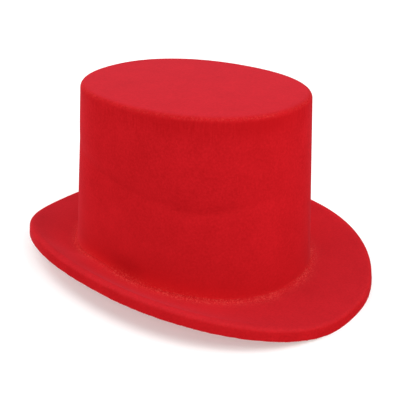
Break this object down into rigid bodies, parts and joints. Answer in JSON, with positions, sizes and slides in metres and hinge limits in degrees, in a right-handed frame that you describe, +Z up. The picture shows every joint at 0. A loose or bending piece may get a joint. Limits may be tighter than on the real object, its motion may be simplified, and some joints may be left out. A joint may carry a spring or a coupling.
{
  "type": "top hat",
  "caption": "Moulded costume top hat with an oval flat-topped crown, a brim curled up at the sides with a turned-down lip, and a sewn-in sweatband.",
  "frame": {"origin": "on the surface the hat stands on, under the middle of the brim", "axes": "+Z up through the crown, +Y towards the back of the hat, -Y towards its front, +X towards the wearer's left"},
  "size_m": [0.2352, 0.3268, 0.1553],
  "materials": {
    "velour": "matte",
    "foam": "matte",
    "backing": "matte",
    "tape": "matte",
    "label": "satin",
    "thread": "satin"
  },
  "bodies": {
    "root": {"velour_cover": "velour", "foam_core": "foam", "backing_fabric": "backing", "sweatband": "tape", "sweatband_stitching": "thread", "band_join_stitching": "thread", "size_label": "label", "label_stitching_left": "thread", "label_stitching_right": "thread"}
  },
  "joints": []
}
